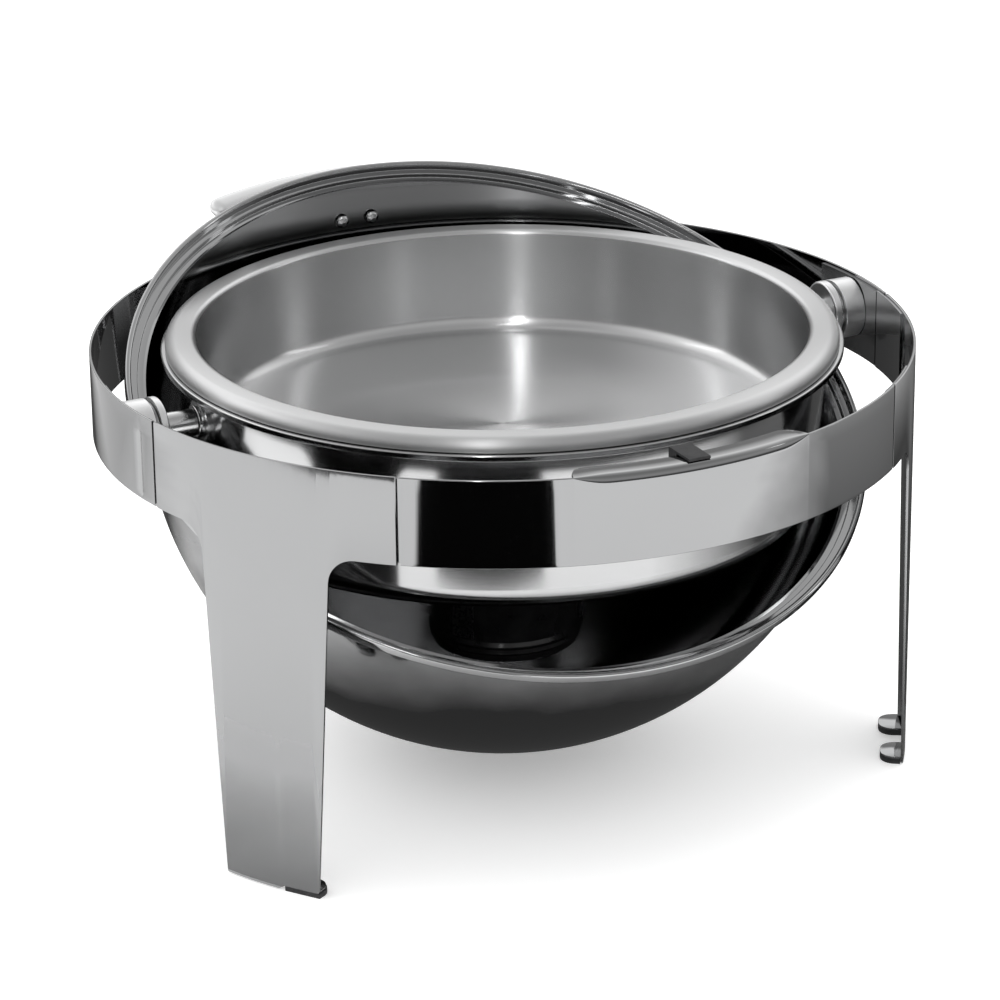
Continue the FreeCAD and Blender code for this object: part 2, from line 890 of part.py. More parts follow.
def handle_stem():
    """Block between the dome and the bar, shaped to both, with two threaded holes."""
    rise = size("rim_rise") + size("handle_rise")
    blank = size("stem_blank")
    block = doc.addObject("Part::Box", "StemBlock")
    bind(block, "Length", size("stem_width"))
    bind(block, "Width", blank)
    bind(block, "Height", size("stem_height"))
    block.Placement = at(-size("stem_width") / 2, -size("handle_front"), rise - size("stem_height") / 2)
    ball = doc.addObject("Part::Sphere", "StemDomeSeat")
    bind(ball, "Radius", size("dome_radius"))
    ball.Placement = at(y=size("lid_setback"), z=size("rim_rise") - size("dome_drop"))
    bow = doc.addObject("Part::Cylinder", "StemBarSeat")
    bind(bow, "Radius", size("handle_bow") - size("handle_depth"))
    bind(bow, "Height", blank)
    bow.Placement = at(y=size("handle_bow") - size("handle_front"), z=rise - blank / 2)
    inside = doc.addObject("Part::Common", "StemInsideBar")
    inside.Base = block
    inside.Tool = bow
    seated = doc.addObject("Part::Cut", "StemOnDome")
    seated.Base = inside
    seated.Tool = ball
    drills = []
    for side in (-0.5, 0.5):
        drill = doc.addObject("Part::Cylinder", "StemHole")
        bind(drill, "Radius", size("screw_radius") + HAIR / 2)
        bind(drill, "Height", size("stem_drill"))
        drill.Placement = at(
            size("screw_spacing") * side, blank - size("handle_front"), rise,
            axis=FreeCAD.Vector(1, 0, 0), angle=90.0)
        drills.append(drill)
    both = doc.addObject("Part::Compound", "StemHoles")
    both.Links = drills
    stem = doc.addObject("Part::Cut", "handle_stem")
    stem.Label = "handle_stem"
    stem.Base = seated
    stem.Tool = both
    return on_lid(stem)


def handle_screws():
    """Two dome-headed screws that hold the handle from inside the dome."""
    rise = size("handle_rise")
    seat = dome_radius_at(rise, size("dome_radius") - size("dome_sheet"))
    depth = size("lid_setback") - seat + size("screw_sink")
    screws = []
    for side in (-0.5, 0.5):
        body = turned(f"handle_screw_{'left' if side < 0 else 'right'}", [
            (0.0, 0.0),
            (size("screw_head"), 0.0, 0.4),
            (size("screw_head") * 0.86, size("screw_dome") * 0.56, 1.2),
            (size("screw_head") * 0.35, size("screw_dome"), 0.8),
            (0.0, size("screw_dome")),
        ])
        shaft = new_sketch(body, "XY_Plane")
        draw_circle(shaft, (0.0, 0.0), size("screw_radius"))
        stud = pad(body, shaft, size("screw_shank"))
        stud.Reversed = True
        placement = at(
            size("screw_spacing") * side, depth, size("rim_rise") + rise,
            axis=FreeCAD.Vector(1, 0, 0), angle=-90.0)
        screws.append(on_lid(body, placement))
    return group("handle_screws", screws)


# ---------------------------------------------------------------- assembly


def build():
    nodes = [
        ring_band("front_band", 0.0, with_ledge=True),
        ring_band("rear_right_band", 120.0),
        ring_band("rear_left_band", -120.0),
    ]
    for name, angle in (("left_leg", -60.0), ("right_leg", 60.0), ("rear_leg", 180.0)):
        nodes.append(leg(name, angle))
        nodes.append(foot_pads(f"{name}_pads", angle))
    nodes.append(lid_bumper())
    nodes += pivot_parts()
    nodes += [water_pan(), food_pan(), fuel_holder(), hanger_straps(), fuel_can(), lid_dome()]
    for name, side in SIDES:
        nodes += [lid_ear(name, side), pivot_bush(name, side)]
    nodes += [handle_grip(), handle_stem(), handle_screws()]
    return nodes


def check(nodes):
    """Stop with a plain message if anything in the document failed."""
    doc.recompute()
    for thing in doc.Objects:
        if "Invalid" in thing.State or "Error" in thing.State:
            raise RuntimeError(f"{thing.Label} ({thing.Name}) failed: {thing.State}")
    for node in nodes:
        if node.Shape.isNull() or not node.Shape.isValid() or not node.Shape.Solids:
            raise RuntimeError(f"{node.Label} has no valid solid")


def write(nodes):
    os.makedirs("parts", exist_ok=True)
    for node in nodes:
        node.Shape.exportStep(f"parts/{node.Label}.step")
        print(node.Label, len(node.Shape.Solids), round(node.Shape.Volume, 1))


parts = build()
check(parts)
write(parts)
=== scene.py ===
import json
import math

import bmesh
import bpy
from mathutils import Matrix, Vector


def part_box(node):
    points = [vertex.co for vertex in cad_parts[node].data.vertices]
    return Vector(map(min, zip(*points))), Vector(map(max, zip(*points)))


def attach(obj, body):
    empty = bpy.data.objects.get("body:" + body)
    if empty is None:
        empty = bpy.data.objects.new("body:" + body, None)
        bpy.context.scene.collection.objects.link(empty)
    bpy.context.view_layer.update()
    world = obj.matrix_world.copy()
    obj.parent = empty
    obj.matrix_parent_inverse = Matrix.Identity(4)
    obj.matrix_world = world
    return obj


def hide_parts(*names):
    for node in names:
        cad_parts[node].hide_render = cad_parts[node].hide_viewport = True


# Round roll-top chafing dish in polished and satin stainless steel.
# Metres, in the CAD's frame. Angles run around Z from the front (-Y), positive towards +X.

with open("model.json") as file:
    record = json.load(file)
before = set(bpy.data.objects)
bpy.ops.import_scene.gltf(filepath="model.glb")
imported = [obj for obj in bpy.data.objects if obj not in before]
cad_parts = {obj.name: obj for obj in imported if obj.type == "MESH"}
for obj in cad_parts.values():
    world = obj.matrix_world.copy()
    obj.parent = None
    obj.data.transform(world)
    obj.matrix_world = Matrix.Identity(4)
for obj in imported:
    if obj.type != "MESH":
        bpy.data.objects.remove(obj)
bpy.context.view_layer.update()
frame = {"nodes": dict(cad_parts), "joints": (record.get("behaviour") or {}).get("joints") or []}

MM = 0.001
STEP = math.radians(1.5)
FULL_TURN = 2 * math.pi

ring_low, ring_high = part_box("rear_left_band")
RING_OUT = -ring_low.x
RING_FOOT = ring_low.z
RING_TOP = ring_high.z
SHEET = 1.5 * MM
RING_IN = RING_OUT - SHEET
LEG_HALF = math.radians(19.8)
SEAM = math.radians(0.4)
BAND_HALF = math.radians(60) - LEG_HALF - SEAM

lid_joint = next(joint for joint in frame["joints"] if joint["name"] == "lid_roll")
PIVOT = Vector(lid_joint["pos_m"])
LID_OPEN = math.radians(max(lid_joint["range_deg"]))
LID_FRAME = Matrix.Translation(PIVOT) @ Matrix.Rotation(-LID_OPEN, 4, "X")
RIM_SETBACK = 6 * MM
RIM_RISE = 25 * MM
RIM_FRAME = LID_FRAME @ Matrix.Translation((0, RIM_SETBACK, RIM_RISE))


# ---------------------------------------------------------------- node helper

MADE_AT = "made_at"


class Nodes:
    """Short calls for building a material's node tree."""

    def __init__(self, name, world=None, own_place=False):
        self.material = world or bpy.data.materials.new(name)
        self.material.use_nodes = True
        self.nodes = self.material.node_tree.nodes
        self.links = self.material.node_tree.links
        self.shader = self.nodes.get("Principled BSDF")
        self.own_place = own_place

    def add(self, kind, **settings):
        node = self.nodes.new(kind)
        for name, value in settings.items():
            setattr(node, name, value)
        return node

    def link(self, source, target):
        self.links.new(source, target)

    def value(self, operation, first, second=None):
        node = self.add("ShaderNodeMath", operation=operation)
        for place, item in enumerate((first, second)):
            if item is None:
                continue
            if isinstance(item, (int, float)):
                node.inputs[place].default_value = item
            else:
                self.link(item, node.inputs[place])
        return node.outputs[0]

    def vector(self, x, y, z):
        node = self.add("ShaderNodeCombineXYZ")
        for place, item in enumerate((x, y, z)):
            self.link(item, node.inputs[place])
        return node.outputs[0]

    def noise(self, vector, scale, detail=3.0, roughness=0.5):
        node = self.add("ShaderNodeTexNoise")
        node.inputs["Scale"].default_value = scale
        node.inputs["Detail"].default_value = detail
        node.inputs["Roughness"].default_value = roughness
        self.link(vector, node.inputs["Vector"])
        return node.outputs["Fac"]

    def span(self, value, low, high, start=0.25, end=0.75):
        """Map a value from start..end to low..high."""
        node = self.add("ShaderNodeMapRange")
        node.inputs["From Min"].default_value = start
        node.inputs["From Max"].default_value = end
        node.inputs["To Min"].default_value = low
        node.inputs["To Max"].default_value = high
        self.link(value, node.inputs["Value"])
        return node.outputs["Result"]

    def colours(self, value, dark, light):
        node = self.add("ShaderNodeMix", data_type="RGBA")
        node.inputs["A"].default_value = (*dark, 1)
        node.inputs["B"].default_value = (*light, 1)
        self.link(value, node.inputs["Factor"])
        return node.outputs["Result"]

    def bump(self, height, strength, distance, normal=None):
        node = self.add("ShaderNodeBump")
        node.inputs["Strength"].default_value = strength
        node.inputs["Distance"].default_value = distance
        self.link(height, node.inputs["Height"])
        if normal is not None:
            self.link(normal, node.inputs["Normal"])
        return node.outputs["Normal"]

    def place(self):
        """Where a point is: on the object, or where it was made for a piece that was turned afterwards."""
        if self.own_place:
            return self.add("ShaderNodeAttribute", attribute_name=MADE_AT).outputs["Vector"]
        return self.add("ShaderNodeTexCoord").outputs["Object"]

    def place_parts(self):
        split = self.add("ShaderNodeSeparateXYZ")
        self.link(self.place(), split.inputs[0])
        return split.outputs

    def radius(self):
        """Distance from the object's own Z axis."""
        x, y, z = self.place_parts()
        squares = self.value("ADD", self.value("MULTIPLY", x, x), self.value("MULTIPLY", y, y))
        return self.value("SQRT", squares)

    def polar(self, around_scale, radius_scale, height_scale):
        """Texture coordinates that run around the object's own Z axis."""
        x, y, z = self.place_parts()
        turn = self.value("ARCTAN2", y, x)
        return self.vector(
            self.value("MULTIPLY", turn, around_scale),
            self.value("MULTIPLY", self.radius(), radius_scale),
            self.value("MULTIPLY", z, height_scale),
        )


# ---------------------------------------------------------------- camera, light and floor

VIEW_AZIMUTH = math.radians(-26.38)
VIEW_ELEVATION = math.radians(18.91)
VIEW_DISTANCE = 2.382
VIEW_ROLL = math.radians(0.657)
AIM_DROP = 0.103
AIM_LEFT = 0.0024


def around(angle, radius, height):
    """A point at an angle from the front, a radius from the object's axis and a height."""
    return Vector((math.sin(angle) * radius, -math.cos(angle) * radius, height))


def make_camera():
    data = bpy.data.cameras.new("camera")
    data.sensor_width = 36
    data.lens = 148.3
    data.clip_end = 50
    camera = bpy.data.objects.new("camera", data)
    bpy.context.scene.collection.objects.link(camera)
    reach = VIEW_DISTANCE * math.cos(VIEW_ELEVATION)
    height = RING_TOP + VIEW_DISTANCE * math.sin(VIEW_ELEVATION)
    camera.location = around(VIEW_AZIMUTH, reach, height)
    leftward = Vector((-math.cos(VIEW_AZIMUTH), -math.sin(VIEW_AZIMUTH), 0))
    aim = Vector((0, 0, RING_TOP - AIM_DROP)) + leftward * AIM_LEFT
    turn = (aim - camera.location).to_track_quat("-Z", "Y").to_matrix().to_4x4()
    camera.matrix_world = Matrix.Translation(camera.location) @ turn @ Matrix.Rotation(-VIEW_ROLL, 4, "Z")
    bpy.context.scene.camera = camera


def softbox(name, azimuth, elevation, distance, width, height, power):
    """A soft rectangular light for the steel, facing the object from an azimuth and an elevation."""
    data = bpy.data.lights.new(name, "AREA")
    data.shape = "RECTANGLE"
    data.size = width
    data.size_y = height
    data.energy = power
    light = bpy.data.objects.new(name, data)
    bpy.context.scene.collection.objects.link(light)
    azimuth = math.radians(azimuth)
    elevation = math.radians(elevation)
    place = around(azimuth, distance * math.cos(elevation), distance * math.sin(elevation))
    aim = Vector((0, 0, 0.15))
    turn = (aim - place).to_track_quat("-Z", "Y").to_matrix().to_4x4()
    light.matrix_world = Matrix.Translation(place) @ turn
    light.visible_diffuse = False


def overhead(strength):
    """A very soft light from above for everything that isn't polished."""
    data = bpy.data.lights.new("overhead", "SUN")
    data.energy = strength
    data.angle = math.radians(170)
    light = bpy.data.objects.new("overhead", data)
    bpy.context.scene.collection.objects.link(light)
    light.visible_glossy = False


def make_world():
    """A broad pale wall behind the object, above a dark foot and dimmer to the front, and a grey ceiling."""
    world = bpy.data.worlds.new("studio")
    bpy.context.scene.world = world
    world.use_nodes = True
    maker = Nodes("studio", world)
    split = maker.add("ShaderNodeSeparateXYZ")
    maker.link(maker.add("ShaderNodeTexCoord").outputs["Generated"], split.inputs[0])
    x, y, z = split.outputs
    azimuth = maker.value("ARCTAN2", x, maker.value("MULTIPLY", y, -1.0))
    behind = maker.value("ABSOLUTE", maker.value("SUBTRACT", maker.value("ABSOLUTE", azimuth), math.pi))
    wall = maker.span(behind, 1.25, 0.4, 0.9, 1.9)
    wall = maker.value("MULTIPLY", wall, maker.span(z, 0.25, 1.1, 0.27, 0.38))
    wall = maker.value("MULTIPLY", wall, maker.span(z, 1.0, 0.25, 0.6, 0.9))
    ceiling = maker.span(z, 0.05, 0.30, 0.3, 0.9)
    level = maker.value("ADD", wall, ceiling)
    maker.link(level, maker.nodes["Background"].inputs["Strength"])
    maker.nodes["Background"].inputs["Color"].default_value = (1, 1, 1, 1)
    bpy.context.scene.view_settings.view_transform = "Standard"


def plain_sheet(name, corners, material):
    mesh = bpy.data.meshes.new(name)
    mesh.from_pydata(corners, [], [tuple(range(len(corners)))])
    thing = bpy.data.objects.new(name, mesh)
    bpy.context.scene.collection.objects.link(thing)
    mesh.materials.append(material)
    return thing


def make_floor():
    maker = Nodes("floor")
    tone = maker.colours(maker.noise(maker.place(), 3.0), (0.92, 0.92, 0.92), (0.95, 0.95, 0.95))
    maker.link(tone, maker.shader.inputs["Base Color"])
    maker.shader.inputs["Roughness"].default_value = 0.9
    maker.shader.inputs["Specular IOR Level"].default_value = 0.1
    maker.shader.inputs["Emission Color"].default_value = (1, 1, 1, 1)
    maker.shader.inputs["Emission Strength"].default_value = 0.3
    half = 12.0
    corners = [(-half, -half, 0), (half, -half, 0), (half, half, 0), (-half, half, 0)]
    plain_sheet("floor", corners, maker.material)


def painted_reflection_card(name, corners, cover, painted_glow=0.0):
    """A dark card on the floor, seen only in polished steel, which paints dark reflections there; its cover
    reads the card's own coordinates, and any glow is painted light that greys those reflections.
    """
    maker = Nodes(name)
    maker.shader.inputs["Base Color"].default_value = (0.003, 0.003, 0.003, 1)
    maker.shader.inputs["Roughness"].default_value = 1.0
    maker.shader.inputs["Specular IOR Level"].default_value = 0.0
    maker.shader.inputs["Emission Color"].default_value = (1, 1, 1, 1)
    maker.shader.inputs["Emission Strength"].default_value = painted_glow
    maker.link(cover(maker), maker.shader.inputs["Alpha"])
    card = plain_sheet(name, corners, maker.material)
    card.rotation_euler.z = VIEW_AZIMUTH
    card.visible_camera = False
    card.visible_diffuse = False
    card.visible_shadow = False


CARD_LIFT = 1 * MM
FRONT_LEFT = math.radians(-20.5)
FRONT_RIGHT = math.radians(11.5)
FRONT_NEAR = 0.42
FRONT_FAR = 1.60
UNDER_RADIUS = 0.38
BACK_LEFT, BACK_RIGHT = -1.4, 2.0
BACK_NEAR, BACK_FAR = -0.5, 3.0


def front_cover(maker):
    """Painted dark reflection on the front band: full cover, with a crisp left side."""
    x, y, z = maker.place_parts()
    azimuth = maker.value("ARCTAN2", x, maker.value("MULTIPLY", y, -1.0))
    return maker.span(azimuth, 0.0, 1.0, FRONT_LEFT, FRONT_LEFT + math.radians(1))


def under_cover(maker):
    """Painted shade of the floor under the dish, seen only in reflections: a round patch with a wide,
    slightly uneven edge.
    """
    uneven = maker.value("MULTIPLY", maker.noise(maker.place(), 9.0), 0.06)
    return maker.span(maker.value("ADD", maker.radius(), uneven), 1.0, 0.0, 0.17, 0.36)


def back_cover(maker):
    """Painted dark reflections from behind: half cover on the left, full in the middle, fading out to the
    right, with a slanting near edge.
    """
    across, beyond, z = maker.place_parts()
    beyond = maker.value("ADD", beyond, maker.value("MULTIPLY", maker.noise(maker.place(), 6.0), 0.15))
    left_side = maker.span(across, 0.0, 0.5, BACK_LEFT, -0.7)
    left_side = maker.value("ADD", left_side, maker.span(across, 0.0, 0.5, -0.56, -0.42))
    right_side = maker.span(across, 1.0, 0.0, 0.45, BACK_RIGHT)
    cover = maker.value("MULTIPLY", left_side, right_side)
    near_edge = maker.span(across, 0.02, -0.32, -0.2, 0.5)
    reach = maker.value("SUBTRACT", beyond, near_edge)
    return maker.value("MULTIPLY", cover, maker.span(reach, 0.0, 0.97, 0.0, 0.34))


def make_painted_reflections():
    """Cards seen only in the steel, each a little above the next: a painted dark reflection in front of the
    band, painted shade under the dish and painted dark reflections behind it.
    """
    top = CARD_LIFT * 3
    ends = [(FRONT_LEFT, FRONT_NEAR), (FRONT_RIGHT, FRONT_NEAR)]
    ends += [(FRONT_RIGHT, FRONT_FAR), (FRONT_LEFT, FRONT_FAR)]
    painted_reflection_card("front_painted_reflection", [around(*end, top) for end in ends], front_cover)
    turns = [math.radians(turn) for turn in range(0, 360, 10)]
    # Painted shade under the dish, seen only in reflections; its glow is painted light that keeps it dark
    # grey.
    painted_reflection_card("under_painted_shade", [around(turn, UNDER_RADIUS, CARD_LIFT * 2) for turn in turns], under_cover, painted_glow=0.05)
    corners = [(BACK_LEFT, BACK_NEAR), (BACK_RIGHT, BACK_NEAR), (BACK_RIGHT, BACK_FAR), (BACK_LEFT, BACK_FAR)]
    painted_reflection_card("back_painted_reflection", [(*corner, CARD_LIFT) for corner in corners], back_cover, painted_glow=0.03)


# ---------------------------------------------------------------- outlines and meshes


def rounded(corners):
    """The outline (x, y) of corners (x, y, radius), with each radius as an arc."""
    outline = []
    count = len(corners)
    for place, corner in enumerate(corners):
        here = Vector(corner[:2])
        if len(corner) < 3 or corner[2] <= 0:
            outline.append(here)
            continue
        before = (Vector(corners[place - 1][:2]) - here).normalized()
        after = (Vector(corners[(place + 1) % count][:2]) - here).normalized()
        half = before.angle(after) / 2
        radius = corner[2]
        centre = here + (before + after).normalized() * (radius / math.sin(half))
        start = here + before * (radius / math.tan(half)) - centre
        end = here + after * (radius / math.tan(half)) - centre
        turn = start.angle_signed(end)
        steps = max(3, math.ceil(abs(turn) / math.radians(11)))
        for step in range(steps + 1):
            share = step / steps
            mixed = start * math.sin(abs(turn) * (1 - share)) + end * math.sin(abs(turn) * share)
            outline.append(centre + mixed / math.sin(abs(turn)))
    return outline


def angles_between(first, last, step=STEP):
    count = max(1, math.ceil(abs(last - first) / step))
    return [first + (last - first) * place / count for place in range(count + 1)]


def new_piece(name, verts, faces):
    """A mesh object with merged points, outward faces and smooth shading."""
    mesh = bpy.data.meshes.new(name)
    mesh.from_pydata([tuple(vert) for vert in verts], [], faces)
    shape = bmesh.new()
    shape.from_mesh(mesh)
    bmesh.ops.remove_doubles(shape, verts=shape.verts, dist=1e-6)
    bmesh.ops.dissolve_degenerate(shape, edges=shape.edges, dist=1e-6)
    bmesh.ops.recalc_face_normals(shape, faces=shape.faces)
    shape.to_mesh(mesh)
    shape.free()
    piece = bpy.data.objects.new(name, mesh)
    bpy.context.scene.collection.objects.link(piece)
    smooth(piece)
    return piece


def smooth(piece, sharp=35):
    piece.data.shade_smooth()
    piece.data.set_sharp_from_angle(angle=math.radians(sharp))


def swept(name, outline_at, angles, full=False):
    """Closed outlines (radius, height), one for each angle, joined around Z."""
    verts = []
    for angle in angles:
        verts += [around(angle, radius, height) for radius, height in outline_at(angle)]
    size = len(verts) // len(angles)
    spans = len(angles) if full else len(angles) - 1
    faces = []
    for span in range(spans):
        near = span * size
        far = (span + 1) % len(angles) * size
        for place in range(size):
            following = (place + 1) % size
            faces.append((near + place, far + place, far + following, near + following))
    if not full:
        faces.append(tuple(range(size)))
        faces.append(tuple(reversed(range(len(verts) - size, len(verts)))))
    return new_piece(name, verts, faces)


def turned(name, corners, step=STEP):
    """A full turn of one outline around Z."""
    outline = rounded(corners)
    return swept(name, lambda angle: outline, angles_between(0, FULL_TURN, step)[:-1], full=True)


def joined(name, pieces):
    """One object from several meshes."""
    shape = bmesh.new()
    for piece in pieces:
        shape.from_mesh(piece.data)
        old = piece.data
        bpy.data.objects.remove(piece)
        bpy.data.meshes.remove(old)
    mesh = bpy.data.meshes.new(name)
    shape.to_mesh(mesh)
    shape.free()
    piece = bpy.data.objects.new(name, mesh)
    bpy.context.scene.collection.objects.link(piece)
    smooth(piece)
    return piece


def settle(piece, matrix):
    """Turn a piece's mesh into its place, keeping where each point was made for its material."""
    mesh = piece.data
    made_at = mesh.attributes.new(MADE_AT, "FLOAT_VECTOR", "POINT")
    for point, vert in zip(made_at.data, mesh.vertices):
        point.vector = vert.co
    mesh.transform(matrix)
    mesh.update()


def bevelled(piece, width, segments=2):
    """Round a piece's sharp edges and keep the result as its mesh."""
    bevel = piece.modifiers.new("bevel", "BEVEL")
    bevel.width = width
    bevel.segments = segments
    bevel.limit_method = "ANGLE"
    bevel.angle_limit = math.radians(40)
    bpy.context.view_layer.update()
    evaluated = piece.evaluated_get(bpy.context.evaluated_depsgraph_get())
    mesh = bpy.data.meshes.new_from_object(evaluated)
    piece.modifiers.clear()
    piece.data = mesh
    smooth(piece)
    return piece


# ---------------------------------------------------------------- materials


def worn_edges(maker, roughness):
    """Add a little roughness where the surface bends sharply, as handling leaves it."""
    edges = maker.span(maker.add("ShaderNodeNewGeometry").outputs["Pointiness"], 0.0, 0.10, 0.52, 0.60)
    return maker.value("ADD", roughness, edges)


def steel(
    name, tone, roughness, spread, brush,
    brush_bump=0.02, wave_bump=0.03, anisotropy=0.0, own=False, matte_from=None,
):
    """Stainless sheet: brushed lines, slow waves from rolling, smudges, worn edges, perhaps a matte rim."""
    maker = Nodes(name, own_place=own)
    lines = maker.noise(maker.polar(*brush), 1.0, detail=2.0, roughness=0.6)
    slow = maker.noise(maker.place(), 7.0, detail=2.0)
    smudge = maker.noise(maker.place(), 38.0, detail=5.0, roughness=0.65)
    dark = tuple(value * 0.93 for value in tone)
    tint = maker.colours(maker.span(slow, 0.0, 1.0), dark, tone)
    maker.link(tint, maker.shader.inputs["Base Color"])
    rough = maker.span(lines, roughness - spread, roughness + spread)
    rough = maker.value("ADD", rough, maker.span(smudge, 0.0, spread * 0.8, 0.5, 0.75))
    rough = worn_edges(maker, rough)
    if matte_from:
        matte = maker.span(maker.radius(), 0.0, 0.17, matte_from, matte_from + 4 * MM)
        rough = maker.value("ADD", rough, matte)
    maker.link(rough, maker.shader.inputs["Roughness"])
    normal = maker.bump(slow, wave_bump, 0.4 * MM)
    normal = maker.bump(lines, brush_bump, 0.05 * MM, normal)
    maker.link(normal, maker.shader.inputs["Normal"])
    maker.shader.inputs["Metallic"].default_value = 1.0
    maker.shader.inputs["Anisotropic"].default_value = anisotropy
    if anisotropy:
        maker.shader.inputs["Anisotropic Rotation"].default_value = 0.25
        tangent = maker.add("ShaderNodeTangent", direction_type="RADIAL", axis="Z")
        maker.link(tangent.outputs[0], maker.shader.inputs["Tangent"])
    return maker.material


def dull(name, dark, light, roughness, grain, bump, metallic=0.0):
    """Rubber, enamel or plain plate: mottled colour, speckled roughness and a fine grain."""
    maker = Nodes(name)
    mottle = maker.noise(maker.place(), grain * 0.15, detail=4.0)
    fine = maker.noise(maker.place(), grain, detail=5.0, roughness=0.7)
    maker.link(maker.colours(maker.span(mottle, 0.0, 1.0), dark, light), maker.shader.inputs["Base Color"])
    rough = maker.span(fine, roughness - 0.08, roughness + 0.08)
    maker.link(worn_edges(maker, rough), maker.shader.inputs["Roughness"])
    maker.link(maker.bump(fine, bump, 0.1 * MM), maker.shader.inputs["Normal"])
    maker.shader.inputs["Metallic"].default_value = metallic
    return maker.material


# How fine the brushed lines are: around, outward and up.
UPRIGHT = (240.0, 20.0, 6.0)
ROUND = (1.5, 1300.0, 1300.0)
BAR = (40.0, 900.0, 900.0)

# Tones of one stainless steel, set part by part to how bright each looks: painted shade darkens the ring's
# mirror, painted light makes the hubs and handle pale.
PAINTED_SHADE_TONE = (0.33, 0.332, 0.335)
STEEL = (0.42, 0.422, 0.425)
PAN = (0.52, 0.522, 0.525)
SATIN = (0.64, 0.642, 0.645)
PAINTED_LIGHT_TONE = (0.88, 0.882, 0.885)

ring_steel = steel("ring_steel", PAINTED_SHADE_TONE, 0.05, 0.015, UPRIGHT)
lid_steel = steel("lid_steel", STEEL, 0.07, 0.02, ROUND, brush_bump=0.004, wave_bump=0.06, own=True)
satin_steel = steel(
    "satin_steel", SATIN, 0.23, 0.010, ROUND,
    brush_bump=0.002, anisotropy=0.8, matte_from=176 * MM,
)
pan_steel = steel("pan_steel", PAN, 0.13, 0.02, ROUND, brush_bump=0.004, wave_bump=0.06)
fitting_steel = steel("fitting_steel", SATIN, 0.12, 0.03, ROUND)
hub_steel = steel("hub_steel", PAINTED_LIGHT_TONE, 0.36, 0.03, ROUND)
handle_steel = steel("handle_steel", PAINTED_LIGHT_TONE, 0.45, 0.03, BAR, own=True)
rubber = dull("black_rubber", (0.012, 0.012, 0.013), (0.03, 0.03, 0.031), 0.62, 900.0, 0.25)
enamel = dull("black_enamel", (0.010, 0.010, 0.011), (0.026, 0.026, 0.027), 0.18, 500.0, 0.06)
tinplate = dull("tinplate", (0.45, 0.45, 0.46), (0.58, 0.58, 0.59), 0.34, 350.0, 0.05, metallic=1.0)
brass = dull("bush_brass", (0.50, 0.38, 0.18), (0.62, 0.48, 0.24), 0.28, 700.0, 0.04, metallic=1.0)


def dress(piece, material):
    """Give a new piece its material."""
    piece.data.materials.clear()
    piece.data.materials.append(material)
    return piece


def repaint(material, *names):
    """Give CAD nodes that keep their shape a better material."""
    for name in names:
        node = frame["nodes"][name]
        if not node.material_slots:
            node.data.materials.append(material)
        for place in node.material_slots:
            place.material = material


# ---------------------------------------------------------------- ring stand

LAP = math.radians(9.0)
LAP_ROOT = math.radians(1.8)
LAP_INSET = 1.0 * MM
LEDGE_HALF = math.radians(17.5)
LEDGE_DEPTH = 17.5 * MM
LEDGE_CORNER = 10.5 * MM
LEDGE_BEND = 5.0 * MM
LEDGE_FALL = math.tan(math.radians(2.5))
EDGE = 0.45 * MM
GROOVE_FROM_END = math.radians(3.4)
GROOVE_HALF = 2.2 * MM
GROOVE_DEPTH = 0.7 * MM
GROOVE_FOOT = 2.0 * MM
GROOVE_TOP = 9.0 * MM


def band_outline(depth, bend):
    """Upright strip whose top edge turns inward by a depth, around a bend, and falls a little."""
    inner = max(bend - SHEET, EDGE * 0.3)
    edge_top = RING_TOP - LEDGE_FALL * depth
    return rounded([
        (RING_OUT, RING_FOOT, EDGE),
        (RING_OUT, RING_TOP, bend),
        (RING_OUT - depth, edge_top, EDGE),
        (RING_OUT - depth, edge_top - SHEET, EDGE * 0.3),
        (RING_IN, RING_TOP - SHEET - LEDGE_FALL * SHEET, inner),
        (RING_IN, RING_FOOT, EDGE),
    ])


def plain_band_outline(press=0.0):
    """Upright strip, with its outer face pressed in by a depth along most of its height."""
    foot = RING_FOOT + GROOVE_FOOT
    top = RING_TOP - GROOVE_TOP
    shape = [(foot, 0), (foot + MM, 0.6), (foot + 3 * MM, 1), (top - 3 * MM, 1), (top - MM, 0.6), (top, 0)]
    groove = [(RING_OUT - press * share, height) for height, share in shape]
    return rounded([
        (RING_OUT, RING_FOOT, EDGE),
        *groove,
        (RING_OUT, RING_TOP, EDGE),
        (RING_IN, RING_TOP, EDGE),
        (RING_IN, RING_FOOT, EDGE),
    ])


def grooved_outline(turn):
    """A section of a rear band, which has an upright groove near each end."""
    beside = (abs(turn) - (BAND_HALF - GROOVE_FROM_END)) * RING_OUT / GROOVE_HALF
    return plain_band_outline(GROOVE_DEPTH * max(1 - beside ** 2, 0.0))


def ledge_depth_at(angle):
    """How far the ledge reaches inward, with its two free corners rounded."""
    from_end = (LEDGE_HALF - abs(angle)) * RING_OUT
    if from_end >= LEDGE_CORNER:
        return LEDGE_DEPTH
    missing = LEDGE_CORNER - from_end
    return LEDGE_DEPTH - LEDGE_CORNER + math.sqrt(max(LEDGE_CORNER ** 2 - missing ** 2, 0.0))


def ledge_bend_at(angle):
    """The bend's radius, which grows from nothing at the ledge's two ends."""
    share = min((LEDGE_HALF - abs(angle)) * RING_OUT / (LEDGE_CORNER * 2), 1.0)
    return EDGE + (LEDGE_BEND - EDGE) * math.sin(share * math.pi / 2)


def ledge_outline(angle):
    """A section of the front band where it has the ledge."""
    return band_outline(ledge_depth_at(angle), ledge_bend_at(angle))


def turned_to(piece, angle):
    piece.data.transform(Matrix.Rotation(angle, 4, "Z"))
    return piece


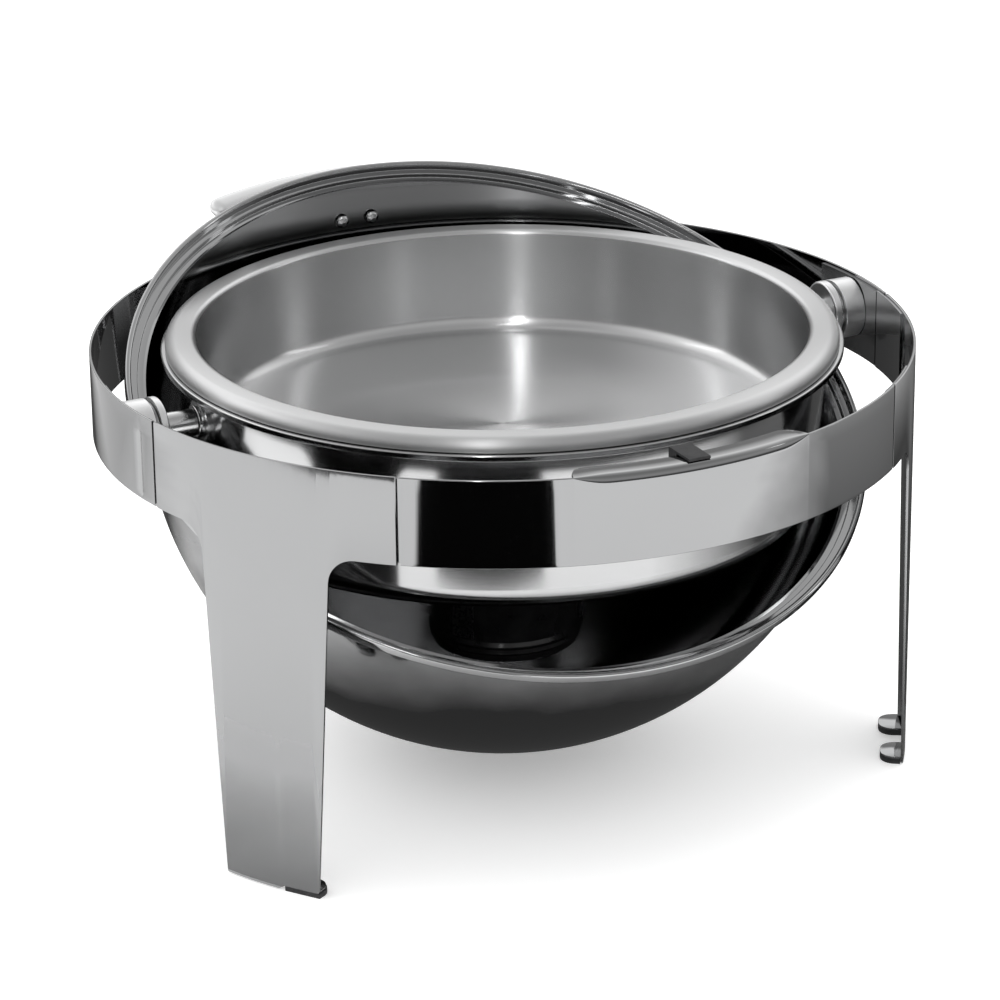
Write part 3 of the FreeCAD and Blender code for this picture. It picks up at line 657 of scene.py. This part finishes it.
def laps(name):
    """The two lapped ends of a band, which lie behind the legs."""
    outline = rounded([
        (RING_IN, RING_FOOT + LAP_INSET, EDGE * 0.5),
        (RING_IN, RING_TOP - LAP_INSET, EDGE * 0.5),
        (RING_IN - SHEET, RING_TOP - LAP_INSET, EDGE * 0.5),
        (RING_IN - SHEET, RING_FOOT + LAP_INSET, EDGE * 0.5),
    ])
    root = BAND_HALF - LAP_ROOT
    tip = BAND_HALF + LAP
    ends = []
    for side in (-1, 1):
        stretch = angles_between(root * side, tip * side)
        ends.append(swept(f"{name}_{side}", lambda angle: outline, stretch))
    return ends


def make_band(node, angle, with_ledge=False):
    plain = plain_band_outline()
    if with_ledge:
        left = swept("left", lambda turn: plain, angles_between(-BAND_HALF, -LEDGE_HALF))
        right = swept("right", lambda turn: plain, angles_between(LEDGE_HALF, BAND_HALF))
        stretch = angles_between(-LEDGE_HALF, LEDGE_HALF, math.radians(0.5))
        middle = swept("middle", ledge_outline, stretch)
        strips = [left, middle, right]
    else:
        reach = GROOVE_HALF / RING_OUT
        centre = BAND_HALF - GROOVE_FROM_END
        fine = angles_between(centre - reach, centre + reach, reach / 4)
        plain_stretch = angles_between(reach - centre, centre - reach)[1:-1]
        stretch = sorted([-turn for turn in fine] + fine + plain_stretch)
        strips = [swept("strip", grooved_outline, [-BAND_HALF] + stretch + [BAND_HALF])]
    band = joined(f"{node}_sheet", strips + laps(node))
    turned_to(band, angle)
    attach(band, "stand")
    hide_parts(node)
    dress(band, ring_steel)


NECK_HALF = 43.0 * MM
FOOT_HALF = 31.5 * MM
LEG_FILLET = 16.0 * MM
PAD_HEIGHT = 3.0 * MM
TAB_WIDTH = 22.0 * MM
TAB_DEPTH = 14.0 * MM
TAB_CORNER = 9.0 * MM
TOE_CLEARANCE = 0.6 * MM
TOE_RAMP = 4.0 * MM


def leg_sheet(name):
    """A flat outline of the cross-bar and the tapering leg, cut into strips and bent to the ring."""
    bar = LEG_HALF * RING_OUT
    neck = math.asin(NECK_HALF / RING_OUT) * RING_OUT
    foot = math.asin(FOOT_HALF / RING_OUT) * RING_OUT
    small = 1.0 * MM
    tab = FOOT_HALF - TAB_WIDTH
    half = [
        (neck, RING_FOOT, LEG_FILLET),
        (bar, RING_FOOT, small),
        (bar, RING_TOP, small),
    ]
    mirrored = [(-x, *rest) for x, *rest in reversed(half)]
    over_pad = [(tab - TOE_RAMP, TOE_CLEARANCE), (tab, PAD_HEIGHT), (foot, PAD_HEIGHT, small)]
    outline = rounded(over_pad + half + mirrored + [(-foot, TOE_CLEARANCE, small)])
    shape = bmesh.new()
    shape.faces.new([shape.verts.new((x, 0, z)) for x, z in outline])
    for cut in angles_between(-LEG_HALF, LEG_HALF, math.radians(1.0))[1:-1]:
        everything = shape.verts[:] + shape.edges[:] + shape.faces[:]
        bmesh.ops.bisect_plane(shape, geom=everything, plane_co=(cut * RING_OUT, 0, 0), plane_no=(1, 0, 0))
    for vert in shape.verts:
        vert.co = around(vert.co.x / RING_OUT, RING_OUT, vert.co.z)
    mesh = bpy.data.meshes.new(name)
    shape.to_mesh(mesh)
    shape.free()
    piece = bpy.data.objects.new(name, mesh)
    bpy.context.scene.collection.objects.link(piece)
    face_outward(piece)
    thick = piece.modifiers.new("sheet", "SOLIDIFY")
    thick.thickness = SHEET
    thick.offset = -1
    return bevelled(piece, 0.35 * MM)


def face_outward(piece):
    shape = bmesh.new()
    shape.from_mesh(piece.data)
    for face in shape.faces:
        centre = face.calc_center_median()
        if face.normal.dot(Vector((centre.x, centre.y, 0))) < 0:
            face.normal_flip()
    shape.to_mesh(piece.data)
    shape.free()


def foot_tab(name, side):
    """D-shaped tab bent inward at the foot."""
    near = (FOOT_HALF - TAB_WIDTH) * side
    far = (FOOT_HALF - 0.4 * MM) * side
    back = RING_IN - TAB_DEPTH
    front = RING_IN - 0.2 * MM
    outline = rounded([
        (front, near),
        (back, near, TAB_CORNER),
        (back, far, TAB_CORNER),
        (front - 1.9 * MM, far),
    ])
    low = PAD_HEIGHT
    verts = [Vector((across, -reach, height)) for height in (low, low + SHEET) for reach, across in outline]
    count = len(outline)
    faces = [tuple(range(count)), tuple(range(count, count * 2))]
    faces += [(k, (k + 1) % count, (k + 1) % count + count, k + count) for k in range(count)]
    return bevelled(new_piece(name, verts, faces), 0.35 * MM)


def make_leg(node, angle):
    tabs = [foot_tab(f"tab_{side}", side) for side in (-1, 1)]
    leg = joined(f"{node}_sheet", [leg_sheet("sheet")] + tabs)
    turned_to(leg, angle)
    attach(leg, "stand")
    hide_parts(node)
    dress(leg, ring_steel)


# ---------------------------------------------------------------- pans and burner


def make_food_pan():
    low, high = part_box("food_pan")
    rim = high.x
    mouth = rim - 17.5 * MM
    floor = rim - 22.5 * MM
    plate = 1.0 * MM
    roll = 6.6 * MM
    pan = turned("food_pan_spun", [
        (0, low.z),
        (floor + plate, low.z, 11 * MM),
        (mouth + plate, high.z - plate, 2.5 * MM),
        (rim - plate, high.z - plate, roll - plate),
        (rim - plate, high.z - 8 * MM),
        (rim, high.z - 8 * MM, 0.4 * MM),
        (rim, high.z, roll),
        (mouth, high.z, 3.5 * MM),
        (floor, low.z + plate, 10 * MM),
        (0, low.z + plate),
    ])
    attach(pan, "food_pan")
    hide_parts("food_pan")
    dress(pan, satin_steel)


def make_water_pan():
    low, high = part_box("water_pan")
    rim = high.x
    mouth = rim - 9.0 * MM
    floor = rim - 16.5 * MM
    plate = 1.2 * MM
    corner = 16 * MM
    pan = turned("water_pan_spun", [
        (0, low.z),
        (floor, low.z, corner),
        (mouth, high.z - plate, 1.2 * MM),
        (rim - plate, high.z - plate),
        (rim - plate, high.z - plate * 3),
        (rim, high.z - plate * 3, 0.4 * MM),
        (rim, high.z, 1.0 * MM),
        (mouth - plate, high.z, 1.0 * MM),
        (floor - plate, low.z + plate, corner - plate),
        (0, low.z + plate),
    ])
    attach(pan, "stand")
    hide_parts("water_pan")
    dress(pan, pan_steel)


def make_fuel_holder():
    low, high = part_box("fuel_holder")
    bead = 1.6 * MM
    radius = high.x - bead
    foot = low.z
    cup = turned("fuel_cup", [
        (0, foot),
        (radius - bead / 3, foot, 1 * MM),
        (radius - bead / 3, foot + 4 * MM, 0.3 * MM),
        (radius + bead, foot + 5.6 * MM, 0.9 * MM),
        (radius, foot + 7.6 * MM, 0.5 * MM),
        (radius + bead, foot + 9.6 * MM, 0.9 * MM),
        (radius, foot + 12.4 * MM, 0.8 * MM),
        (radius, high.z, 0.5 * MM),
        (radius - bead, high.z, 0.5 * MM),
        (radius - bead, foot + 1 * MM),
        (0, foot + 1 * MM),
    ], math.radians(3))
    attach(cup, "stand")
    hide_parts("fuel_holder")
    dress(cup, enamel)


# ---------------------------------------------------------------- roll-top lid

DOME = 207.75 * MM
DOME_DROP = 8.0 * MM
DOME_SHEET = 1.2 * MM


def dome_arc(radius, foot_height):
    """Points (radius, height) of a spherical wall from its foot to its top."""
    start = math.asin((foot_height + DOME_DROP) / radius)
    return [
        (radius * math.cos(rise), radius * math.sin(rise) - DOME_DROP)
        for rise in angles_between(start, math.pi / 2, math.radians(1.5))
    ]


def make_dome():
    """Spherical shell with a stepped rim and a rolled hem, in the rim's own frame."""
    rim = 219.0 * MM
    hem = 3.6 * MM
    seat = 6.0 * MM
    step = 3.0 * MM
    lip = -3.0 * MM
    riser = DOME + 4.8 * MM
    outer = dome_arc(DOME, seat + 1.0 * MM)
    inner = dome_arc(DOME - DOME_SHEET, seat - DOME_SHEET - 0.6 * MM)
    rim_corners = [
        inner[0],
        (inner[0][0] + 1.6 * MM, seat - DOME_SHEET, 0.7 * MM),
        (riser - DOME_SHEET, seat - DOME_SHEET, 0.5 * MM),
        (riser - DOME_SHEET, step - DOME_SHEET, 0.5 * MM),
        (rim - hem, step - DOME_SHEET, 0.3 * MM),
        (rim - hem, lip, 1.5 * MM),
        (rim, lip, 1.6 * MM),
        (rim, step, 1.2 * MM),
        (riser, step, 0.5 * MM),
        (riser, seat, 0.8 * MM),
        (outer[0][0] + 1.5 * MM, seat, 0.8 * MM),
        outer[0],
    ]
    outline = rounded(rim_corners) + [Vector(point) for point in outer[1:]]
    outline += [Vector(point) for point in reversed(inner[1:])]
    dome = swept("lid_dome_spun", lambda angle: outline, angles_between(0, FULL_TURN)[:-1], full=True)
    settle(dome, RIM_FRAME)
    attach(dome, "lid")
    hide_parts("lid_dome")
    dress(dome, lid_steel)


def make_handle():
    """Bowed bar with rounded ends: a section swept around a distant axis, tapering at both ends."""
    bow = 300.0 * MM
    front = 243.0 * MM
    rise = 27.0 * MM
    half_depth = 7.0 * MM
    half_height = 4.75 * MM
    sweep = math.asin(88.0 * MM / bow)
    cap = 7.0 * MM / bow
    turns = angles_between(-sweep, sweep, math.radians(0.8))
    ends = [math.cos(share) for share in angles_between(0, math.pi / 2, math.radians(12))]
    left = [-sweep + cap * (1 - share) for share in reversed(ends)]
    right = [-turn for turn in reversed(left)]
    turns = sorted(set(left + [turn for turn in turns if abs(turn) < sweep - cap] + right))

    def section(turn):
        from_end = (sweep - abs(turn)) / cap
        fill = 1.0 if from_end >= 1 else math.sqrt(max(1 - (1 - from_end) ** 2, 0.0))
        fill = max(fill, 0.02)
        points = []
        for corner in angles_between(0, FULL_TURN, math.radians(12))[:-1]:
            across = math.copysign(abs(math.cos(corner)) ** 0.75, math.cos(corner))
            up = math.copysign(abs(math.sin(corner)) ** 0.75, math.sin(corner))
            points.append((bow - half_depth + half_depth * fill * across, half_height * fill * up))
        return points

    bar = swept("handle_bar", section, turns)
    settle(bar, LID_FRAME @ Matrix.Translation((0, bow - front, RIM_RISE + rise)))
    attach(bar, "lid")
    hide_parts("handle_grip")
    dress(bar, handle_steel)


# ---------------------------------------------------------------- the whole dish

make_camera()
make_world()
make_floor()
make_painted_reflections()
overhead(2.2)
softbox("key", -36, 62, 2.6, 0.10, 1.8, 3)
softbox("front", -33.3, 31, 2.8, 0.08, 1.6, 4)
softbox("left", -128, 30, 2.8, 0.20, 2.0, 2)
softbox("right", 70, 30, 2.8, 0.20, 2.0, 2)

make_band("front_band", 0.0, with_ledge=True)
make_band("rear_right_band", math.radians(120))
make_band("rear_left_band", math.radians(-120))
for leg_node, leg_angle in (("left_leg", -60), ("right_leg", 60), ("rear_leg", 180)):
    make_leg(leg_node, math.radians(leg_angle))
make_food_pan()
make_water_pan()
make_fuel_holder()
make_dome()
make_handle()

repaint(rubber, "lid_bumper", "left_leg_pads", "right_leg_pads", "rear_leg_pads")
for side in ("left", "right"):
    repaint(ring_steel, f"{side}_pivot_plate", f"{side}_lid_ear")
    repaint(hub_steel, f"{side}_outer_hub", f"{side}_inner_hub")
    repaint(fitting_steel, f"{side}_spacer_tube", f"{side}_pivot_collar", f"{side}_pivot_pin")
    repaint(fitting_steel, f"{side}_pan_boss")
    repaint(brass, f"{side}_pivot_bush")
repaint(fitting_steel, "handle_stem", "handle_screws")
repaint(enamel, "hanger_straps")
repaint(tinplate, "fuel_can")
